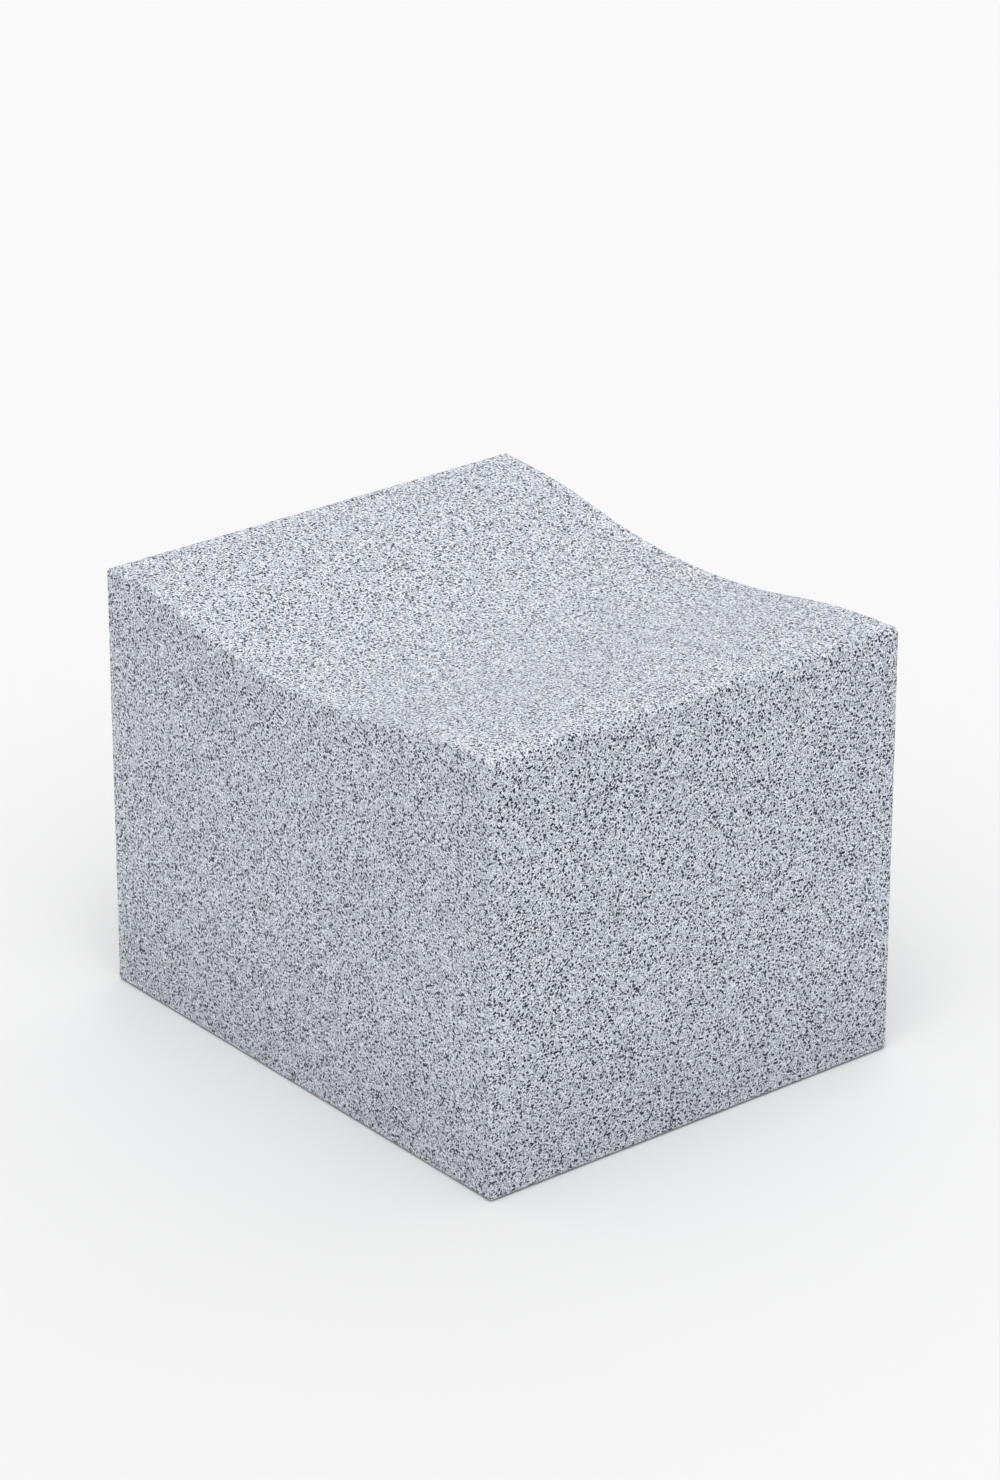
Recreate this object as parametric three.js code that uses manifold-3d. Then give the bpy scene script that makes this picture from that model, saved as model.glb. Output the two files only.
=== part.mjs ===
// A backless seat cut from one block of granite, with a dished top, as a three.js scene graph.
//
// The block stands on four thin rubber pads. Four steel sockets are bonded with resin into blind holes in its
// underside, so that it can be bolted down from below, and a screwed plug closes each one while it is free.
//
// Millimetres, +Z up. +X runs across the seat from crest to crest and +Y runs along the dish.
// The origin is on the ground at the middle of the block.

import * as THREE from 'three';
import { mergeVertices } from 'three/addons/utils/BufferGeometryUtils.js';
import Module from 'manifold-3d';

// ---------------------------------------------------------------- driving dimensions

const BLOCK_WIDTH = 600; // along X, from crest to crest
const BLOCK_DEPTH = 500; // along Y
const OVERALL_HEIGHT = 450; // ground to the crests
const DISH_DEPTH = 30; // crests to the middle of the dish

const CREST_EDGE_RADIUS = 6; // seat's left and right arrises, along the crests
const FACE_EDGE_RADIUS = 2.5; // seat's front and rear arrises, along the curve
const CORNER_EDGE_RADIUS = 2.5; // upright arrises
const BOTTOM_EDGE_RADIUS = 1.5; // lower arrises

const PAD_SIDE = 80;
const PAD_THICKNESS = 2;
const PAD_CORNER_RADIUS = 8;
const PAD_INSET = 20; // from the block's faces to the pad

const ANCHOR_SPACING_X = 300;
const ANCHOR_SPACING_Y = 200;

const SOCKET_RADIUS = 12;
const SOCKET_LENGTH = 120;
const SOCKET_BORE_RADIUS = 6.9; // core of an M16 thread
const SOCKET_BORE_DEPTH = 60;
const SOCKET_CHAMFER = 1.5; // round the mouth
const GROOVE_COUNT = 3; // keying grooves round the socket
const GROOVE_DEPTH = 1;
const GROOVE_WIDTH = 6;

const RESIN_WALL = 1.5; // round the socket
const RESIN_BED = 5; // over its closed end

const PLUG_LENGTH = 12;
const PLUG_RECESS = 3; // from the socket's mouth to the face of the plug
const PLUG_CHAMFER = 0.8;
const KEY_ACROSS_FLATS = 8; // hexagonal key hole in the plug
const KEY_DEPTH = 6;

const FIT_GAP = 0.3; // between round pieces that nest

// ---------------------------------------------------------------- mesh resolution

const ARC_STEPS = 8; // along each of the seat's arcs
const EDGE_STEPS = 4; // round each arris
const ROUND_STEPS = 24; // round a socket
const CUT_OVERRUN = 5; // how far a cutter starts outside its piece

// ---------------------------------------------------------------- derived dimensions

const UNDERSIDE = PAD_THICKNESS;
const HALF_WIDTH = BLOCK_WIDTH / 2;
const HALF_DEPTH = BLOCK_DEPTH / 2;
const END_EDGE_REACH = Math.max(CORNER_EDGE_RADIUS, FACE_EDGE_RADIUS, BOTTOM_EDGE_RADIUS);

// The seat's curve is four arcs of one radius, each a quarter of the width long and half the dish deep:
// a crest at each side, and two that make the dish.
const ARC_RUN = BLOCK_WIDTH / 4;
const ARC_RISE = DISH_DEPTH / 2;
const SEAT_RADIUS = (ARC_RUN ** 2 + ARC_RISE ** 2) / (2 * ARC_RISE);
const ARC_ANGLE = Math.asin(ARC_RUN / SEAT_RADIUS);
const CREST_CENTRE_Z = OVERALL_HEIGHT - SEAT_RADIUS;
const DISH_CENTRE_Z = OVERALL_HEIGHT - DISH_DEPTH + SEAT_RADIUS;

const RESIN_BORE_RADIUS = SOCKET_RADIUS + FIT_GAP;
const RESIN_RADIUS = RESIN_BORE_RADIUS + RESIN_WALL;
const RESIN_BORE_DEPTH = SOCKET_LENGTH + FIT_GAP;
const RESIN_LENGTH = RESIN_BORE_DEPTH + RESIN_BED;
const HOLE_RADIUS = RESIN_RADIUS + FIT_GAP;
const HOLE_DEPTH = RESIN_LENGTH + FIT_GAP;
const PLUG_RADIUS = SOCKET_BORE_RADIUS - FIT_GAP;

const MATERIALS = {
  granite: new THREE.MeshStandardMaterial({ color: 0xb4b8c1, roughness: 0.8, metalness: 0 }),
  steel: new THREE.MeshStandardMaterial({ color: 0xb9bbbd, roughness: 0.35, metalness: 1 }),
  resin: new THREE.MeshStandardMaterial({ color: 0x8f8a7c, roughness: 0.6, metalness: 0 }),
  plastic: new THREE.MeshStandardMaterial({ color: 0x1c1d1f, roughness: 0.5, metalness: 0 }),
  rubber: new THREE.MeshStandardMaterial({ color: 0x232324, roughness: 0.9, metalness: 0 }),
};

// ---------------------------------------------------------------- cutting

const manifold = await Module();
manifold.setup();

function toSolid(geometry) {
  const bare = geometry.clone();
  bare.deleteAttribute('normal');
  bare.deleteAttribute('uv');
  const merged = mergeVertices(bare);
  const mesh = new manifold.Mesh({
    numProp: 3,
    vertProperties: new Float32Array(merged.attributes.position.array),
    triVerts: new Uint32Array(merged.index.array),
  });
  return new manifold.Manifold(mesh);
}

function toGeometry(solid) {
  const mesh = solid.getMesh();
  const geometry = new THREE.BufferGeometry();
  geometry.setAttribute('position', new THREE.BufferAttribute(mesh.vertProperties, 3));
  geometry.setIndex(new THREE.BufferAttribute(mesh.triVerts, 1));
  geometry.computeVertexNormals();
  return geometry;
}

function cutAway(geometry, cutters) {
  let solid = toSolid(geometry);
  for (const cutter of cutters) {
    solid = solid.subtract(toSolid(cutter));
  }
  return toGeometry(solid);
}

// A hole's cutter: it stands on +Z and reaches up to the given height.
function holeCutter(radius, height, sides) {
  const length = height + CUT_OVERRUN;
  const cutter = new THREE.CylinderGeometry(radius, radius, length, sides);
  return cutter.rotateX(Math.PI / 2).translate(0, 0, height - length / 2);
}

// ---------------------------------------------------------------- the block

// How far a rounded arris has drawn in at a distance from the end face.
function drawnIn(radius, distance) {
  const run = Math.max(radius - distance, 0);
  return radius - Math.sqrt(radius ** 2 - run ** 2);
}

function arc(centreX, centreZ, radius, start, end, steps) {
  const curve = new THREE.EllipseCurve(centreX, centreZ, radius, radius, start, end, end < start);
  return curve.getPoints(steps);
}

// The +X half of the outline, from the lower arris up to the middle of the dish, in X and Z.
function halfOutline(side, top, bottom) {
  const right = Math.PI / 2;
  const edgeX = HALF_WIDTH - side;
  const topEdgeX = edgeX - CREST_EDGE_RADIUS;
  const lowEdgeX = edgeX - BOTTOM_EDGE_RADIUS;
  const lowEdgeZ = UNDERSIDE + bottom + BOTTOM_EDGE_RADIUS;
  // the top arris is tangent to the face and to the crest, whose centre stays below the unrounded edge
  const reach = HALF_WIDTH - topEdgeX;
  const lift = Math.sqrt((SEAT_RADIUS - CREST_EDGE_RADIUS) ** 2 - reach ** 2);
  const crestZ = CREST_CENTRE_Z - top;
  const tangent = Math.atan2(lift, -reach);
  const lower = arc(lowEdgeX, lowEdgeZ, BOTTOM_EDGE_RADIUS, -right, 0, EDGE_STEPS);
  const upper = arc(topEdgeX, crestZ + lift, CREST_EDGE_RADIUS, 0, tangent, EDGE_STEPS);
  const crest = arc(HALF_WIDTH, crestZ, SEAT_RADIUS, tangent, right + ARC_ANGLE, ARC_STEPS);
  const dish = arc(0, DISH_CENTRE_Z - top, SEAT_RADIUS, ARC_ANGLE - right, -right, ARC_STEPS);
  return [...lower, ...upper, ...crest.slice(1), ...dish.slice(1)];
}

function blockOutline(distance) {
  const side = drawnIn(CORNER_EDGE_RADIUS, distance);
  const top = drawnIn(FACE_EDGE_RADIUS, distance);
  const bottom = drawnIn(BOTTOM_EDGE_RADIUS, distance);
  const half = halfOutline(side, top, bottom);
  const mirrored = half.slice(0, -1).reverse();
  return [...half, ...mirrored.map((point) => new THREE.Vector2(-point.x, point.y))];
}

// A closed body through outlines that all have the same number of points, one at each station along Y.
function lofted(stations) {
  const count = stations[0].outline.length;
  const positions = [];
  for (const { y, outline } of stations) {
    for (const point of outline) {
      positions.push(point.x, y, point.y);
    }
  }
  const index = [];
  for (let row = 0; row < stations.length - 1; row += 1) {
    for (let column = 0; column < count; column += 1) {
      const here = row * count + column;
      const next = row * count + ((column + 1) % count);
      index.push(here, here + count, next);
      index.push(next, here + count, next + count);
    }
  }
  const last = (stations.length - 1) * count;
  for (const [a, b, c] of THREE.ShapeUtils.triangulateShape(stations[0].outline, [])) {
    index.push(a, b, c);
    index.push(last + a, last + c, last + b);
  }
  const geometry = new THREE.BufferGeometry();
  geometry.setAttribute('position', new THREE.Float32BufferAttribute(positions, 3));
  geometry.setIndex(index);
  return geometry;
}

function blockBody() {
  const near = [];
  for (let step = 0; step <= EDGE_STEPS; step += 1) {
    const angle = (Math.PI / 2) * (step / EDGE_STEPS);
    const distance = END_EDGE_REACH * (1 - Math.cos(angle));
    near.push({ y: distance - HALF_DEPTH, outline: blockOutline(distance) });
  }
  const far = near.map(({ y, outline }) => ({ y: -y, outline })).reverse();
  return lofted([...near, ...far]);
}

// ---------------------------------------------------------------- round pieces and pads

// A round piece about +Z, from a profile of [radius, height] pairs that starts and ends on the axis.
function turned(profile) {
  const points = profile.map(([radius, height]) => new THREE.Vector2(radius, height));
  return new THREE.LatheGeometry(points, ROUND_STEPS).rotateX(Math.PI / 2);
}

function grooveProfile() {
  const pitch = SOCKET_LENGTH / (GROOVE_COUNT + 1);
  const floor = SOCKET_RADIUS - GROOVE_DEPTH;
  const points = [];
  for (let groove = 1; groove <= GROOVE_COUNT; groove += 1) {
    const low = groove * pitch - GROOVE_WIDTH / 2;
    const high = low + GROOVE_WIDTH;
    points.push([SOCKET_RADIUS, low], [floor, low], [floor, high], [SOCKET_RADIUS, high]);
  }
  return points;
}

function socketGeometry() {
  return turned([
    [0, SOCKET_BORE_DEPTH],
    [SOCKET_BORE_RADIUS, SOCKET_BORE_DEPTH],
    [SOCKET_BORE_RADIUS, SOCKET_CHAMFER],
    [SOCKET_BORE_RADIUS + SOCKET_CHAMFER, 0],
    [SOCKET_RADIUS, 0],
    ...grooveProfile(),
    [SOCKET_RADIUS, SOCKET_LENGTH],
    [0, SOCKET_LENGTH],
  ]);
}

function resinGeometry() {
  return turned([
    [0, RESIN_BORE_DEPTH],
    [RESIN_BORE_RADIUS, RESIN_BORE_DEPTH],
    [RESIN_BORE_RADIUS, 0],
    [RESIN_RADIUS, 0],
    [RESIN_RADIUS, RESIN_LENGTH],
    [0, RESIN_LENGTH],
  ]);
}

function plugGeometry() {
  const body = turned([
    [0, 0],
    [PLUG_RADIUS - PLUG_CHAMFER, 0],
    [PLUG_RADIUS, PLUG_CHAMFER],
    [PLUG_RADIUS, PLUG_LENGTH],
    [0, PLUG_LENGTH],
  ]);
  const keySides = 6;
  const keyRadius = KEY_ACROSS_FLATS / 2 / Math.cos(Math.PI / keySides);
  return cutAway(body, [holeCutter(keyRadius, KEY_DEPTH, keySides)]);
}

function padGeometry() {
  const middle = PAD_SIDE / 2 - PAD_CORNER_RADIUS;
  const outline = new THREE.Shape();
  for (const quarter of [0, 1, 2, 3]) {
    const start = (quarter * Math.PI) / 2;
    const diagonal = start + Math.PI / 4;
    const x = Math.sign(Math.cos(diagonal)) * middle;
    const y = Math.sign(Math.sin(diagonal)) * middle;
    outline.absarc(x, y, PAD_CORNER_RADIUS, start, start + Math.PI / 2);
  }
  const options = { depth: PAD_THICKNESS, bevelEnabled: false, curveSegments: EDGE_STEPS };
  return new THREE.ExtrudeGeometry(outline, options);
}

// ---------------------------------------------------------------- the assembly

const SIDES = [
  { x: -1, name: 'left' },
  { x: 1, name: 'right' },
];
const ENDS = [
  { y: -1, name: 'front' },
  { y: 1, name: 'rear' },
];
const CORNERS = ENDS.flatMap((end) =>
  SIDES.map((side) => ({ x: side.x, y: end.y, name: `${end.name}_${side.name}` })),
);

function piece(name, geometry, material, x = 0, y = 0, z = 0) {
  const mesh = new THREE.Mesh(geometry, material.clone());
  mesh.name = name;
  mesh.position.set(x, y, z);
  return mesh;
}

function seatBlock() {
  const cutters = CORNERS.map((corner) =>
    holeCutter(HOLE_RADIUS, HOLE_DEPTH, ROUND_STEPS).translate(
      (corner.x * ANCHOR_SPACING_X) / 2,
      (corner.y * ANCHOR_SPACING_Y) / 2,
      UNDERSIDE,
    ),
  );
  return piece('seat_block', cutAway(blockBody(), cutters), MATERIALS.granite);
}

function anchor(corner) {
  const group = new THREE.Group();
  const x = (corner.x * ANCHOR_SPACING_X) / 2;
  const y = (corner.y * ANCHOR_SPACING_Y) / 2;
  group.position.set(x, y, UNDERSIDE);
  group.add(piece(`anchor_socket_${corner.name}`, socketGeometry(), MATERIALS.steel));
  group.add(piece(`resin_collar_${corner.name}`, resinGeometry(), MATERIALS.resin));
  group.add(
    piece(`socket_plug_${corner.name}`, plugGeometry(), MATERIALS.plastic, 0, 0, PLUG_RECESS),
  );
  return group;
}

function bearingPad(corner) {
  const x = corner.x * (HALF_WIDTH - PAD_INSET - PAD_SIDE / 2);
  const y = corner.y * (HALF_DEPTH - PAD_INSET - PAD_SIDE / 2);
  return piece(`bearing_pad_${corner.name}`, padGeometry(), MATERIALS.rubber, x, y);
}

const seat = new THREE.Group();
seat.add(seatBlock());
for (const corner of CORNERS) {
  seat.add(anchor(corner));
  seat.add(bearingPad(corner));
}

export default seat;
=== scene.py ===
"""The looks of a backless seat: one granite block with a dished top, on four rubber pads, with bonded
sockets and their plugs in its underside. Metres, +Z up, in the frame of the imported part."""
import math

import bmesh
import bpy
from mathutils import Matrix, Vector, noise


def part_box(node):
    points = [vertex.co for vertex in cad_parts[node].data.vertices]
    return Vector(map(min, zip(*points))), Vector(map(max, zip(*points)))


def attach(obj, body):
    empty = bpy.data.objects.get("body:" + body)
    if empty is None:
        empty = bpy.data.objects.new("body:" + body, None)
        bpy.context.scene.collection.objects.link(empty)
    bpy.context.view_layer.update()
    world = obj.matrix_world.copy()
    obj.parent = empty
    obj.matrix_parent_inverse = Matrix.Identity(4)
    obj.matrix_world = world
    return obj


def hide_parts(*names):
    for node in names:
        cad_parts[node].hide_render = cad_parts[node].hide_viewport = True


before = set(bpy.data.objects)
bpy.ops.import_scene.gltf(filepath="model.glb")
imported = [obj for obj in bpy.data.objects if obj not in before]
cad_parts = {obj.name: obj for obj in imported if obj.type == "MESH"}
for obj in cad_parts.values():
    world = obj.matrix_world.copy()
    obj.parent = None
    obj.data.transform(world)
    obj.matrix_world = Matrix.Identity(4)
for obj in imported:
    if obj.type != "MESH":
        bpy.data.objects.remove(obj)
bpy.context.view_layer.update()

MM = 0.001

# ---------------------------------------------------------------- sizes

DISH_DEPTH = 30 * MM
CREST_EDGE = 6 * MM  # radius of the seat's left and right arrises
FACE_EDGE = 2.5 * MM  # radius of its front and rear arrises, and of the upright ones
LOW_EDGE = 1.5 * MM  # radius of the lower arrises
FIT_GAP = 0.3 * MM
FACE_STEP = 4.5 * MM  # mesh pitch on the faces
EDGE_STEPS = (0.0, 0.5, 1.0, 1.6, 2.4, 3.6, 4.8, 6.0)  # mesh lines beside an arris, in mm from it
LEVEL_FOOT = 100 * MM  # height over the underside above which the mesh's rows follow the dish
LOW_BAND = 12 * MM  # height over which the upright arrises sharpen towards the underside
WAVES = ((45 * MM, 0.07 * MM), (14 * MM, 0.05 * MM))  # breadth and height of the faces' unevenness
CHIP_BREADTH = 8 * MM
CHIP_REACH = 3.5 * MM  # how far from an arris it chips
CHIP_DEPTH = 0.9 * MM
CHIP_RARITY = 0.15
CHIP_PLACE = Vector((7, 3, 1))  # where in the noise the chips are read, away from the waves
WEAR_REACH = 5 * MM  # how far from an arris the stone is rubbed
HOLE_STEPS = 64
HOLE_OVERRUN = 10 * MM  # how far below the underside a hole's cutter starts

BORE_RADIUS = 6.9 * MM  # core of the sockets' M16 thread
BORE_DEPTH = 60 * MM
DRILL_POINT = 2 * MM
THREAD_PITCH = 2 * MM
THREAD_DEPTH = 1.1 * MM
THREAD_REACH = 48 * MM  # how far up the bore the thread goes
THREAD_ROW = THREAD_PITCH / 8
MOUTH_CHAMFER = 1.5 * MM
GROOVES = 3  # round each socket
GROOVE_DEPTH = 1 * MM
GROOVE_WIDTH = 6 * MM
SMALL_CHAMFER = 0.4 * MM
KEY_FLATS = 8 * MM
KEY_DEPTH = 6 * MM
RESIN_BORE = 12.3 * MM
RESIN_BED = 5 * MM
PAD_CORNER = 8 * MM
PAD_EDGE = 0.4 * MM
PAD_STEP = 2 * MM  # mesh pitch on the pads
GRANULE = 2 * MM
GRANULE_RELIEF = 0.08 * MM
RESIN_MOUTH = ((0.1, 0.35), (0.35, 0.7), (0.65, 0.65), (0.9, 0.2))  # share of the wall, mm sunken there
RESIN_ROW = 2.5 * MM  # mesh pitch up the resin's wall
MOUTH_LUMPS = (3 * MM, 0.25 * MM)  # breadth and height
WALL_LUMPS = (2.5 * MM, 0.2 * MM)
ROUND_STEPS = 48

CORNERS = ("front_left", "front_right", "rear_left", "rear_right")


# ---------------------------------------------------------------- camera, floor and light

CAMERA_AIM = Vector((1.5, 1.9, 299.0)) * MM
CAMERA_DISTANCE = 5.3117
CAMERA_AZIMUTH = math.radians(51.115)
CAMERA_ELEVATION = math.radians(24.092)
CAMERA_LENS = 132.3
SUNS = (  # name, azimuth and elevation in degrees, strength
    ("key", 50.0, 60.0, 1.38),
    ("top", 0.0, 90.0, 0.43),
    ("back", 210.0, 35.0, 0.38),
)
SUN_SPREAD = 60.0  # degrees across
DOME_LEVEL = 0.63  # brightness of the light from all round
BACKDROP_LEVEL = 0.94  # brightness of what is seen beyond the floor
FLOOR_HALF = 30.0


def add_camera():
    flat = math.cos(CAMERA_ELEVATION)
    back = Vector((
        math.sin(CAMERA_AZIMUTH) * flat,
        -math.cos(CAMERA_AZIMUTH) * flat,
        math.sin(CAMERA_ELEVATION),
    ))
    data = bpy.data.cameras.new("camera")
    data.lens = CAMERA_LENS
    data.sensor_width = 36.0
    data.clip_end = 100.0
    camera = bpy.data.objects.new("camera", data)
    camera.location = CAMERA_AIM + back * CAMERA_DISTANCE
    camera.rotation_euler = (-back).to_track_quat("-Z", "Y").to_euler()
    bpy.context.scene.collection.objects.link(camera)
    bpy.context.scene.camera = camera


def add_sun(name, azimuth, elevation, strength):
    data = bpy.data.lights.new(name, "SUN")
    data.energy = strength
    data.angle = math.radians(SUN_SPREAD)
    light = bpy.data.objects.new(name, data)
    turn, rise = math.radians(azimuth), math.radians(elevation)
    towards = Vector((math.sin(turn) * math.cos(rise), -math.cos(turn) * math.cos(rise), math.sin(rise)))
    light.rotation_euler = towards.to_track_quat("Z", "Y").to_euler()
    bpy.context.scene.collection.objects.link(light)


def add_world():
    """An even dome of light. Straight lines of sight past the floor meet a brighter, floor-like white."""
    world = bpy.data.worlds.new("studio")
    world.use_nodes = True
    tree = world.node_tree
    background = tree.nodes["Background"]
    background.inputs["Color"].default_value = (1.0, 1.0, 1.0, 1.0)
    seen = node(tree, "LightPath").outputs["Is Camera Ray"]
    strength = maths(tree, "MULTIPLY_ADD", seen, BACKDROP_LEVEL - DOME_LEVEL, DOME_LEVEL)
    tree.links.new(strength, background.inputs["Strength"])
    bpy.context.scene.world = world


def add_light():
    add_world()
    for sun in SUNS:
        add_sun(*sun)


def add_floor():
    mesh = bmesh.new()
    bmesh.ops.create_grid(mesh, x_segments=1, y_segments=1, size=FLOOR_HALF)
    floor = to_object("floor", mesh)
    floor.data.materials.append(floor_material())


# ---------------------------------------------------------------- node helpers


def new_material(name):
    material = bpy.data.materials.new(name)
    material.use_nodes = True
    return material, material.node_tree


def node(tree, kind, settings=None, inputs=None):
    made = tree.nodes.new("ShaderNode" + kind)
    for name, value in (settings or {}).items():
        setattr(made, name, value)
    for key, value in (inputs or {}).items():
        if isinstance(value, bpy.types.NodeSocket):
            tree.links.new(value, made.inputs[key])
        else:
            made.inputs[key].default_value = value
    return made


def maths(tree, operation, first, second=0.0, third=0.0):
    made = node(tree, "Math", {"operation": operation}, {0: first, 1: second, 2: third})
    return made.outputs[0]


def mix(tree, share, first, second, blend="MIX"):
    made = node(tree, "Mix", {"data_type": "RGBA", "blend_type": blend}, {0: share, 6: first, 7: second})
    return made.outputs[2]


def ramp(tree, value, stops, interpolation="LINEAR"):
    made = node(tree, "ValToRGB", None, {"Fac": value})
    band = made.color_ramp
    band.interpolation = interpolation
    while len(band.elements) < len(stops):
        band.elements.new(0.5)
    for element, (place, shade) in zip(band.elements, stops):
        element.position = place
        element.color = shade if len(shade) == 4 else (*shade, 1.0)
    return made.outputs["Color"]


def grey(value):
    return (value, value, value, 1.0)


def object_place(tree):
    """Places on the object in millimetres."""
    place = node(tree, "TexCoord").outputs["Object"]
    return node(tree, "VectorMath", {"operation": "SCALE"}, {0: place, "Scale": 1000.0}).outputs[0]


def turned_place(tree, place):
    """The same places in a frame turned off the object's axes, so that every face cuts a grid alike."""
    settings = {"rotation_type": "EULER_XYZ"}
    return node(tree, "VectorRotate", settings, {"Vector": place, "Rotation": GRID_TURN}).outputs[0]


def cells(tree, place, size):
    """Random polygons about the given size across, in the units of place."""
    return node(tree, "TexVoronoi", None, {"Vector": place, "Scale": 1.0 / size})


def mottle(tree, place, size, detail=2.0):
    inputs = {"Vector": place, "Scale": 1.0 / size, "Detail": detail}
    return node(tree, "TexNoise", None, inputs).outputs[0]


def warped(tree, place, size, amount):
    """Places pushed about at random, so that what is drawn on them has ragged outlines."""
    inputs = {"Vector": place, "Scale": 1.0 / size, "Detail": 1.0}
    push = node(tree, "TexNoise", None, inputs).outputs["Color"]
    push = node(tree, "VectorMath", {"operation": "SCALE"}, {0: push, "Scale": amount}).outputs[0]
    return node(tree, "VectorMath", {"operation": "ADD"}, {0: place, 1: push}).outputs[0]


def principled(tree):
    return tree.nodes["Principled BSDF"]


def add_bump(tree, height, strength, depth):
    """Bends the surface's normals as a relief of the given depth in millimetres would."""
    inputs = {"Strength": strength, "Distance": depth * MM, "Height": height}
    bump = node(tree, "Bump", None, inputs)
    tree.links.new(bump.outputs[0], principled(tree).inputs["Normal"])


# ---------------------------------------------------------------- materials, with their sizes in mm

LARGE_FLAKES = 3.3  # between the granite's larger flakes of mica
SMALL_FLAKES = 2.1  # between its smaller ones
GRAINS = 1.2
RAGGED_SIZE = 1.8
RAGGED_PUSH = 2.8
DRIFT_SIZE = 11.0  # of patches with more or less mica
DRIFT = 0.04  # how much more
# height and raggedness of the painted shade that darkens the stone towards the ground
PAINTED_SHADE_HEIGHT = 200.0
PAINTED_SHADE_SIZE = 60.0
RUBBED_SIZE = 4.0
PIT_SIZE = 1.1
GRID_TURN = (0.5, 0.8, 0.3)  # radians


def floor_material():
    material, tree = new_material("studio_floor")
    shader = principled(tree)
    shader.inputs["Base Color"].default_value = (0.78, 0.78, 0.78, 1.0)
    shader.inputs["Roughness"].default_value = 1.0
    shader.inputs["Specular IOR Level"].default_value = 0.0
    return material


def random_of(tree, textured, channel=0):
    """One of the random numbers that a texture's colour carries."""
    return node(tree, "SeparateColor", None, {0: textured.outputs["Color"]}).outputs[channel]


def flake_reach(tree, ragged, spacing, spread, start):
    """Distance from the middles of scattered flakes, which differ in size by the given spread."""
    flakes = cells(tree, ragged, spacing)
    reach = maths(tree, "MULTIPLY_ADD", random_of(tree, flakes), spread, start)
    return maths(tree, "ADD", reach, flakes.outputs["Distance"])


def granite_minerals(tree, place):
    """Flakes of black mica with white rims, set evenly among small grains of pale feldspar and quartz."""
    ragged = warped(tree, turned_place(tree, place), RAGGED_SIZE, RAGGED_PUSH)
    large = flake_reach(tree, ragged, LARGE_FLAKES, 0.26, -0.03)
    small = flake_reach(tree, ragged, SMALL_FLAKES, 0.30, 0.06)
    reach = maths(tree, "MINIMUM", large, small)
    reach = maths(tree, "MULTIPLY_ADD", mottle(tree, place, DRIFT_SIZE, 1.0), -DRIFT, reach)
    reach = maths(tree, "ADD", reach, DRIFT / 2)
    zone = ramp(tree, reach, (
        (0.45, (0.003, 0.009, 0.028)),  # a flake
        (0.47, (0.46, 0.49, 0.56)),
        (0.49, (0.98, 1.00, 1.00)),  # its rim
        (0.60, (0.92, 0.94, 1.00)),
        (0.78, (0.56, 0.585, 0.655)),  # greyer farther away
        (1.00, (0.25, 0.28, 0.335)),
    ))
    grains = cells(tree, ragged, GRAINS)
    share = ramp(tree, random_of(tree, grains), (
        (0.00, (0.12, 0.135, 0.17)),
        (0.26, (0.68, 0.705, 0.76)),
        (0.55, (0.93, 0.945, 0.97)),
        (1.00, (1.00, 1.00, 1.00)),
    ))
    return mix(tree, 1.0, zone, share, "MULTIPLY")


def painted_ground_shade(tree, place):
    """A factor of painted shade: it darkens the stone a little towards the ground, as the shade near the
    floor would, more in one place than in another.
    """
    height = node(tree, "SeparateXYZ", None, {0: place}).outputs[2]
    ragged = maths(tree, "MULTIPLY_ADD", mottle(tree, place, PAINTED_SHADE_SIZE), PAINTED_SHADE_SIZE, -PAINTED_SHADE_SIZE / 2)
    share = maths(tree, "MULTIPLY", maths(tree, "ADD", height, ragged), 1.0 / PAINTED_SHADE_HEIGHT)
    return ramp(tree, share, ((0.0, grey(0.89)), (0.85, grey(1.0))), "EASE")


def rubbed_share(tree, place):
    """How far the arrises are rubbed, from the wear that the mesh carries."""
    wear = node(tree, "Attribute", {"attribute_name": "wear"}).outputs["Fac"]
    rubbed = maths(tree, "MULTIPLY", wear, mottle(tree, place, RUBBED_SIZE))
    return maths(tree, "MULTIPLY", rubbed, 0.2)


def granite_material():
    material, tree = new_material("granite")
    shader = principled(tree)
    place = object_place(tree)
    minerals = granite_minerals(tree, place)
    brightness = node(tree, "RGBToBW", None, {0: minerals}).outputs[0]
    # painted shade: the stone's colour is darkened towards the ground
    colour = mix(tree, 1.0, minerals, painted_ground_shade(tree, place), "MULTIPLY")
    colour = mix(tree, rubbed_share(tree, place), colour, (0.47, 0.50, 0.555, 1.0))
    tree.links.new(colour, shader.inputs["Base Color"])
    rough = ramp(tree, brightness, ((0.0, grey(0.38)), (0.3, grey(0.72)), (1.0, grey(0.55))))
    tree.links.new(rough, shader.inputs["Roughness"])
    shader.inputs["Specular IOR Level"].default_value = 0.35
    height = maths(tree, "MULTIPLY_ADD", brightness, 0.35, mottle(tree, place, PIT_SIZE, 3.0))
    add_bump(tree, height, 0.7, 0.25)
    return material


def steel_material():
    """Turned stainless steel: fine rings left by the tool, and faint stains."""
    material, tree = new_material("turned_steel")
    shader = principled(tree)
    place = object_place(tree)
    rings = node(tree, "VectorMath", {"operation": "MULTIPLY"}, {0: place, 1: (0.3, 0.3, 9.0)}).outputs[0]
    lines = mottle(tree, rings, 1.0, 1.0)
    stain = mottle(tree, place, 6.0, 3.0)
    colour = ramp(tree, stain, ((0.3, (0.50, 0.49, 0.47)), (0.7, (0.66, 0.655, 0.645))))
    tree.links.new(colour, shader.inputs["Base Color"])
    rough = ramp(tree, maths(tree, "MULTIPLY_ADD", lines, 0.5, maths(tree, "MULTIPLY", stain, 0.5)), (
        (0.3, grey(0.24)),
        (0.7, grey(0.42)),
    ))
    tree.links.new(rough, shader.inputs["Roughness"])
    shader.inputs["Metallic"].default_value = 1.0
    add_bump(tree, lines, 0.5, 0.03)
    return material


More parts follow.
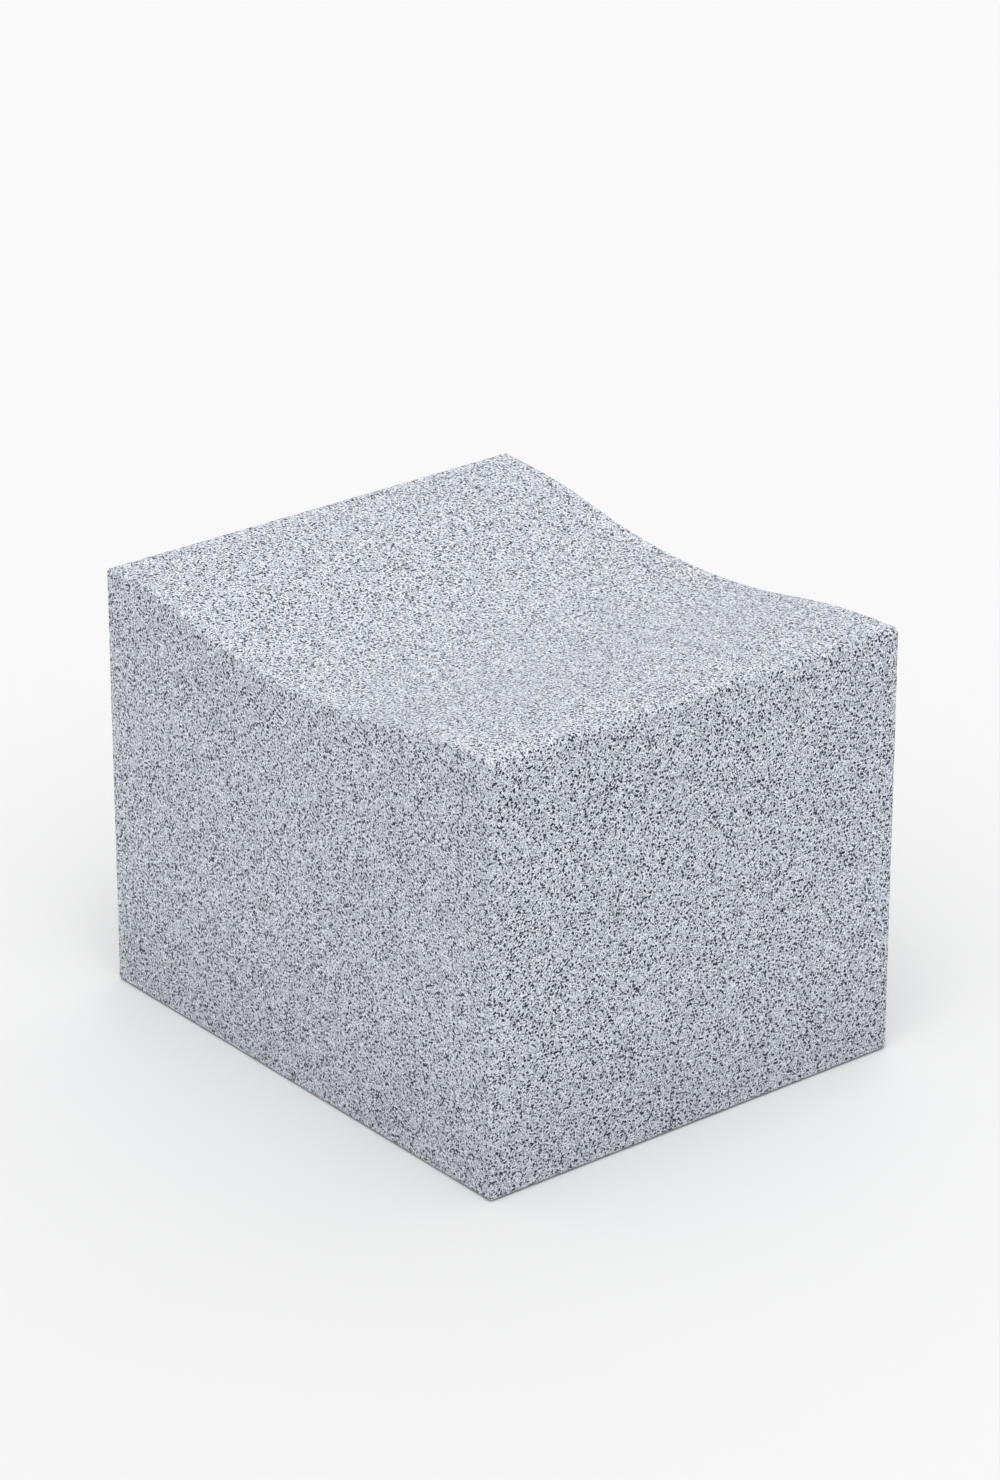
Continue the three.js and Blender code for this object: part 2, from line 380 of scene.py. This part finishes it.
def resin_material():
    """Cured anchor mortar: warm grey, with sand grains and small bubbles."""
    material, tree = new_material("anchor_mortar")
    shader = principled(tree)
    place = object_place(tree)
    cloud = mottle(tree, place, 5.0, 3.0)
    base = ramp(tree, cloud, ((0.3, (0.22, 0.205, 0.175)), (0.7, (0.33, 0.31, 0.265))))
    sand = random_of(tree, cells(tree, place, 0.45))
    shade = ramp(tree, sand, ((0.0, grey(0.55)), (0.2, grey(0.9)), (0.9, grey(1.0)), (1.0, grey(1.5))))
    tree.links.new(mix(tree, 1.0, base, shade, "MULTIPLY"), shader.inputs["Base Color"])
    rough = ramp(tree, cloud, ((0.3, grey(0.5)), (0.7, grey(0.72))))
    tree.links.new(rough, shader.inputs["Roughness"])
    bubbles = ramp(tree, cells(tree, place, 1.6).outputs["Distance"], ((0.12, grey(0.0)), (0.2, grey(1.0))))
    height = maths(tree, "MULTIPLY_ADD", mottle(tree, place, 0.8), 0.6, bubbles)
    add_bump(tree, height, 0.6, 0.15)
    return material


def plastic_material():
    """Black moulded polyethylene, a little paler where it is scuffed."""
    material, tree = new_material("moulded_plastic")
    shader = principled(tree)
    place = object_place(tree)
    scuff = mottle(tree, place, 2.5, 4.0)
    colour = ramp(tree, scuff, ((0.35, (0.012, 0.013, 0.014)), (0.7, (0.035, 0.036, 0.038))))
    tree.links.new(colour, shader.inputs["Base Color"])
    rough = ramp(tree, scuff, ((0.35, grey(0.38)), (0.7, grey(0.62))))
    tree.links.new(rough, shader.inputs["Roughness"])
    grain = mottle(tree, place, 0.35, 2.0)
    add_bump(tree, grain, 0.35, 0.04)
    return material


def rubber_material():
    """Pressed rubber granules: near black, each granule its own shade, with dull seams between them."""
    material, tree = new_material("pressed_rubber")
    shader = principled(tree)
    granules = cells(tree, warped(tree, object_place(tree), 2.0, 1.2), 2.4)
    shade = ramp(tree, random_of(tree, granules), (
        (0.0, (0.010, 0.010, 0.011)),
        (0.7, (0.026, 0.026, 0.027)),
        (1.0, (0.060, 0.060, 0.062)),
    ))
    seam = ramp(tree, granules.outputs["Distance"], ((0.45, grey(1.0)), (0.85, grey(0.45))))
    tree.links.new(mix(tree, 1.0, shade, seam, "MULTIPLY"), shader.inputs["Base Color"])
    rough = ramp(tree, random_of(tree, granules, 1), ((0.0, grey(0.78)), (1.0, grey(0.95))))
    tree.links.new(rough, shader.inputs["Roughness"])
    add_bump(tree, seam, 0.7, 0.2)
    return material


# ---------------------------------------------------------------- mesh helpers


def clamped(value, low, high):
    return min(max(value, low), high)


def smooth_step(low, high, value):
    share = clamped((value - low) / (high - low), 0.0, 1.0)
    return share * share * (3.0 - 2.0 * share)


def steps_between(start, end, step):
    count = max(round(abs(end - start) / step), 1)
    return [start + (end - start) * index / count for index in range(count + 1)]


def to_object(name, mesh):
    data = bpy.data.meshes.new(name)
    mesh.to_mesh(data)
    mesh.free()
    made = bpy.data.objects.new(name, data)
    bpy.context.scene.collection.objects.link(made)
    return made


def lattice_box(lines):
    """A closed box of quads whose vertices lie on the crossings of three sets of lines."""
    mesh = bmesh.new()
    last = [len(line) - 1 for line in lines]
    made = {}

    def corner(key):
        if key not in made:
            made[key] = mesh.verts.new([lines[axis][key[axis]] for axis in range(3)])
        return made[key]

    for axis in range(3):
        across, up = (axis + 1) % 3, (axis + 2) % 3
        for side in (0, last[axis]):
            for i in range(last[across]):
                for j in range(last[up]):
                    ring = []
                    for di, dj in ((0, 0), (1, 0), (1, 1), (0, 1)):
                        key = [0, 0, 0]
                        key[axis], key[across], key[up] = side, i + di, j + dj
                        ring.append(corner(tuple(key)))
                    mesh.faces.new(ring if side else reversed(ring))
    return mesh


def round_off(first, second, radius):
    """Rounds a square corner. A point is given by how far it lies in from the corner's two faces."""
    if first >= radius or second >= radius:
        return first, second
    one, two = radius - first, radius - second
    scale = max(one, two) / math.hypot(one, two)
    return radius - one * scale, radius - two * scale


def eased(first, second, radius, first_outward, second_outward):
    """Rounds the corner between two faces. Gives how far in the point then lies from each face, how far in
    it lies from the rounded outline, and which way is out."""
    first, second = round_off(first, second, radius)
    if first >= radius or second >= radius:
        outward = first_outward if first < second else second_outward
        return first, second, min(first, second), outward
    away = first_outward * (radius - first) + second_outward * (radius - second)
    return first, second, radius - away.length, away.normalized()


def finish_piece(piece, node_name, material, crease):
    """Smooths a piece except at creases sharper than so many degrees, gives it its material, sets it under
    the root body and hides the imported part of its node."""
    for polygon in piece.data.polygons:
        polygon.use_smooth = True
    piece.data.set_sharp_from_angle(angle=math.radians(crease))
    piece.data.materials.clear()
    piece.data.materials.append(material)
    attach(piece, "root")
    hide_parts(node_name)


# ---------------------------------------------------------------- the block


class Block:
    """The block's sizes, taken from its solid in the frame."""

    def __init__(self):
        self.low, self.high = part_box("seat_block")
        self.half_x = (self.high.x - self.low.x) / 2
        self.half_y = (self.high.y - self.low.y) / 2
        self.quarter = self.half_x / 2
        rise = DISH_DEPTH / 2
        self.radius = (self.quarter ** 2 + rise ** 2) / (2 * rise)

    def dish(self, x):
        """How far the seat lies below its crests: four arcs of one radius."""
        across = min(abs(x), self.half_x)
        if across <= self.quarter:
            return DISH_DEPTH - self.radius + math.sqrt(self.radius ** 2 - across ** 2)
        return self.radius - math.sqrt(self.radius ** 2 - (self.half_x - across) ** 2)


def mesh_lines(low, high):
    """Coordinates from low to high: close together beside the two arrises, even between them."""
    band = [step * MM for step in EDGE_STEPS]
    inner_low, inner_high = low + band[-1], high - band[-1]
    count = round((inner_high - inner_low) / FACE_STEP)
    even = [inner_low + (inner_high - inner_low) * step / count for step in range(1, count)]
    return [low + step for step in band] + even + [high - step for step in reversed(band)]


def rounded(block, place):
    """Moves a point of the square-edged box on to the box with rounded arrises."""
    upper = place.z > (block.low.z + block.high.z) / 2
    radius = CREST_EDGE if upper else LOW_EDGE
    from_end = block.high.z - place.z if upper else place.z - block.low.z
    sideways = Vector((math.copysign(1.0, place.x), 0.0, 0.0))
    upright = Vector((0.0, 0.0, 1.0 if upper else -1.0))
    from_side = block.half_x - abs(place.x)
    from_side, from_end, inset, outward = eased(from_side, from_end, radius, sideways, upright)
    x = math.copysign(block.half_x - from_side, place.x)
    z = block.high.z - from_end if upper else block.low.z + from_end
    edge = LOW_EDGE + (FACE_EDGE - LOW_EDGE) * smooth_step(block.low.z, block.low.z + LOW_BAND, z)
    drawn, from_face = round_off(inset, block.half_y - abs(place.y), edge)
    y = math.copysign(block.half_y - from_face, place.y)
    return Vector((x, y, z)) - outward * (drawn - inset)


def dished(block, place):
    """Lowers a point with the dish: the seat by its whole depth, and the rows of the sides less and less."""
    foot = block.low.z + LEVEL_FOOT
    share = (place.z - foot) / (block.high.z - CREST_EDGE - foot)
    return place - Vector((0, 0, block.dish(place.x) * clamped(share, 0.0, 1.0)))


def arris_distance(block, place):
    """Distance to the nearest arris, measured along the surface."""
    top = block.high.z - block.dish(place.x) - place.z
    gaps = sorted((
        block.half_x - abs(place.x),
        block.half_y - abs(place.y),
        min(top, place.z - block.low.z),
    ))
    return gaps[1]


def relief(block, place):
    """How far the dressed face stands above or below its true plane, with small chips along the arrises."""
    wave = sum(noise.noise(place / breadth) * height for breadth, height in WAVES)
    near = math.exp(-((arris_distance(block, place) / CHIP_REACH) ** 2))
    chip = max(noise.noise(place / CHIP_BREADTH + CHIP_PLACE) - CHIP_RARITY, 0.0)
    return wave - near * chip * CHIP_DEPTH


def cutter(name):
    """The drilled hole round a resin collar, as a closed cylinder."""
    low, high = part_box(name)
    radius = (high.x - low.x) / 2 + FIT_GAP
    depth = high.z - low.z + FIT_GAP
    length = depth + HOLE_OVERRUN
    mesh = bmesh.new()
    bmesh.ops.create_cone(
        mesh, cap_ends=True, segments=HOLE_STEPS, radius1=radius, radius2=radius, depth=length
    )
    middle = Vector(((low.x + high.x) / 2, (low.y + high.y) / 2, low.z + (depth - HOLE_OVERRUN) / 2))
    bmesh.ops.translate(mesh, verts=mesh.verts, vec=middle)
    return mesh


def drill(piece):
    """Cuts the four holes for the sockets out of the block's underside."""
    cutters = bmesh.new()
    for corner in CORNERS:
        hole = cutter(f"resin_collar_{corner}")
        data = bpy.data.meshes.new("hole")
        hole.to_mesh(data)
        hole.free()
        cutters.from_mesh(data)
        bpy.data.meshes.remove(data)
    tool = to_object("holes", cutters)
    modifier = piece.modifiers.new("holes", "BOOLEAN")
    modifier.operation = "DIFFERENCE"
    modifier.solver = "EXACT"
    modifier.object = tool
    graph = bpy.context.evaluated_depsgraph_get()
    cut = bpy.data.meshes.new_from_object(piece.evaluated_get(graph))
    piece.modifiers.clear()
    piece.data = cut
    bpy.data.objects.remove(tool)


def add_block():
    block = Block()
    lines = [mesh_lines(block.low[axis], block.high[axis]) for axis in range(3)]
    mesh = lattice_box(lines)
    for vertex in mesh.verts:
        vertex.co = dished(block, rounded(block, vertex.co))
    mesh.normal_update()
    moves = [(vertex, vertex.normal * relief(block, vertex.co)) for vertex in mesh.verts]
    for vertex, move in moves:
        if vertex.co.z > block.low.z + 1 * MM:  # the underside stays flat
            vertex.co += move
    piece = to_object("granite_block", mesh)
    drill(piece)
    wear = piece.data.attributes.new("wear", "FLOAT", "POINT")
    for value, vertex in zip(wear.data, piece.data.vertices):
        value.value = math.exp(-((arris_distance(block, vertex.co) / WEAR_REACH) ** 2))
    finish_piece(piece, "seat_block", granite_material(), 40)


# ---------------------------------------------------------------- sockets, resin, plugs and pads


def round_body(name, rows, start, end, origin):
    """A closed round body. A row is a height and a radius, which may be a function of the angle; start and
    end are the heights at which the body closes on its axis."""
    mesh = bmesh.new()
    angles = [2 * math.pi * step / ROUND_STEPS for step in range(ROUND_STEPS)]
    rings = []
    for height, radius in rows:
        ring = []
        for angle in angles:
            reach = radius(angle) if callable(radius) else radius
            ring.append(mesh.verts.new((reach * math.cos(angle), reach * math.sin(angle), height)))
        rings.append(ring)
    tips = [mesh.verts.new((0, 0, start)), mesh.verts.new((0, 0, end))]
    for step in range(ROUND_STEPS):
        after = (step + 1) % ROUND_STEPS
        for lower, upper in zip(rings, rings[1:]):
            mesh.faces.new((lower[step], lower[after], upper[after], upper[step]))
        mesh.faces.new((tips[0], rings[0][after], rings[0][step]))
        mesh.faces.new((tips[1], rings[-1][step], rings[-1][after]))
    bmesh.ops.recalc_face_normals(mesh, faces=mesh.faces)
    bmesh.ops.translate(mesh, verts=mesh.verts, vec=origin)
    return to_object(name, mesh)


def thread_depth(height, angle):
    """How deep the socket's thread is cut at a place on its bore."""
    turn = (height / THREAD_PITCH - angle / (2 * math.pi)) % 1.0
    return THREAD_DEPTH * clamped(1.25 * (1.0 - abs(2.0 * turn - 1.0)) - 0.12, 0.0, 1.0)


def hexagon(flats, angle):
    """Radius of a hexagon with the given width across its flats."""
    sixth = math.pi / 3
    return flats / 2 / math.cos(angle % sixth - sixth / 2)


def mouth_of(name):
    """The middle of a node's lower end."""
    low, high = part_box(name)
    return Vector(((low.x + high.x) / 2, (low.y + high.y) / 2, low.z))


def threaded_wall(height):
    """The radius of the socket's bore at a height: its thread, opened out by the chamfer at the mouth."""
    chamfer = BORE_RADIUS + MOUTH_CHAMFER - height
    return lambda angle: max(BORE_RADIUS + thread_depth(height, angle), chamfer)


def groove_rows(radius, length, depth, width):
    """Heights and radii that cut evenly spaced grooves round a body, from its lower end up."""
    pitch = length / (GROOVES + 1)
    rows = []
    for groove in range(1, GROOVES + 1):
        low = groove * pitch - width / 2
        high = low + width
        rows += [(low, radius), (low + depth / 3, radius - depth)]
        rows += [(high - depth / 3, radius - depth), (high, radius)]
    return rows


def add_socket(corner, material):
    name = f"anchor_socket_{corner}"
    low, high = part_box(name)
    radius, length = (high.x - low.x) / 2, high.z - low.z
    rows = [(BORE_DEPTH - DRILL_POINT, BORE_RADIUS), (THREAD_REACH + THREAD_PITCH, BORE_RADIUS)]
    rows += [(height, threaded_wall(height)) for height in steps_between(THREAD_REACH, 0.0, THREAD_ROW)]
    rows += [(0.0, radius - SMALL_CHAMFER), (SMALL_CHAMFER, radius)]
    rows += groove_rows(radius, length, GROOVE_DEPTH, GROOVE_WIDTH)
    rows += [(length - SMALL_CHAMFER, radius), (length, radius - SMALL_CHAMFER)]
    piece = round_body(f"steel_socket_{corner}", rows, BORE_DEPTH, length, mouth_of(name))
    finish_piece(piece, name, material, 24)


def add_plug(corner, material):
    name = f"socket_plug_{corner}"
    low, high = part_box(name)
    radius, length = (high.x - low.x) / 2, high.z - low.z
    sunk = low.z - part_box(f"anchor_socket_{corner}")[0].z

    def key(angle):
        return hexagon(KEY_FLATS, angle)

    def key_mouth(angle):
        return key(angle) + SMALL_CHAMFER

    def wall(height):
        fade = clamped(min(height, length - height) / THREAD_PITCH, 0.0, 1.0)
        return lambda angle: radius + thread_depth(height + sunk, angle) * fade

    rows = [(KEY_DEPTH, key), (SMALL_CHAMFER, key), (0.0, key_mouth), (0.0, radius - 2 * SMALL_CHAMFER)]
    rows += [(height, wall(height)) for height in steps_between(2 * SMALL_CHAMFER, length, THREAD_ROW)]
    piece = round_body(f"plastic_plug_{corner}", rows, KEY_DEPTH + SMALL_CHAMFER, length, mouth_of(name))
    finish_piece(piece, name, material, 30)


def add_resin(corner, material):
    """The resin has a sunken, uneven surface at its mouth and a wall that took the drilled hole's marks."""
    name = f"resin_collar_{corner}"
    low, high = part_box(name)
    radius, length = (high.x - low.x) / 2, high.z - low.z
    origin = mouth_of(name)

    def rough(height, reach, lumps):
        breadth, swell = lumps

        def at(angle):
            spot = Vector((reach * math.cos(angle), reach * math.sin(angle), height)) + origin
            return reach + noise.noise(spot / breadth) * swell
        return at

    socket_length = length - RESIN_BED - FIT_GAP
    ribs = groove_rows(RESIN_BORE, socket_length, GROOVE_DEPTH, GROOVE_WIDTH - 2 * FIT_GAP)
    rows = [(length - RESIN_BED, RESIN_BORE)] + list(reversed(ribs)) + [(0.2 * MM, RESIN_BORE)]
    wall = radius - RESIN_BORE
    for share, sunken in RESIN_MOUTH:
        rows.append((sunken * MM, rough(0.0, RESIN_BORE + wall * share, MOUTH_LUMPS)))
    for height in steps_between(0.4 * MM, length - 1 * MM, RESIN_ROW):
        rows.append((height, rough(height, radius - 0.1 * MM, WALL_LUMPS)))
    rows.append((length, radius - 2 * MM))
    piece = round_body(f"cured_resin_{corner}", rows, length - RESIN_BED, length, origin)
    finish_piece(piece, name, material, 50)


def add_pad(corner, material):
    """A rubber pad with rounded corners and soft edges, its faces a little uneven from the granules in it."""
    name = f"bearing_pad_{corner}"
    low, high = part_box(name)
    middle, half = (low + high) / 2, (high - low) / 2
    fine = [0.0, PAD_EDGE / 2, PAD_EDGE, 2 * PAD_EDGE]
    lines = []
    for start, end in ((low.x, high.x), (low.y, high.y)):
        even = steps_between(start + PAD_STEP, end - PAD_STEP, PAD_STEP)
        lines.append([start + step for step in fine] + even + [end - step for step in reversed(fine)])
    lines.append([low.z, low.z + PAD_EDGE, middle.z, high.z - PAD_EDGE, high.z])
    mesh = lattice_box(lines)
    for vertex in mesh.verts:
        place = vertex.co - middle
        sideways = Vector((math.copysign(1.0, place.x), 0.0, 0.0))
        lengthways = Vector((0.0, math.copysign(1.0, place.y), 0.0))
        gaps = half.x - abs(place.x), half.y - abs(place.y)
        across, along, inset, outward = eased(*gaps, PAD_CORNER, sideways, lengthways)
        drawn, up = round_off(inset, half.z - abs(place.z), PAD_EDGE)
        flat = sideways * (half.x - across) + lengthways * (half.y - along) - outward * (drawn - inset)
        granules = (0.5 + 0.5 * noise.noise(vertex.co / GRANULE)) * GRANULE_RELIEF
        flat.z = math.copysign(half.z - up - granules, place.z) if abs(place.z) > half.z / 2 else place.z
        vertex.co = middle + flat
    piece = to_object(f"rubber_pad_{corner}", mesh)
    finish_piece(piece, name, material, 60)


def add_fixings():
    steel = steel_material()
    plastic = plastic_material()
    resin = resin_material()
    rubber = rubber_material()
    for corner in CORNERS:
        add_socket(corner, steel)
        add_plug(corner, plastic)
        add_resin(corner, resin)
        add_pad(corner, rubber)


# ---------------------------------------------------------------- the scene

bpy.context.scene.view_settings.view_transform = "Standard"
add_camera()
add_light()
add_floor()
add_block()
add_fixings()
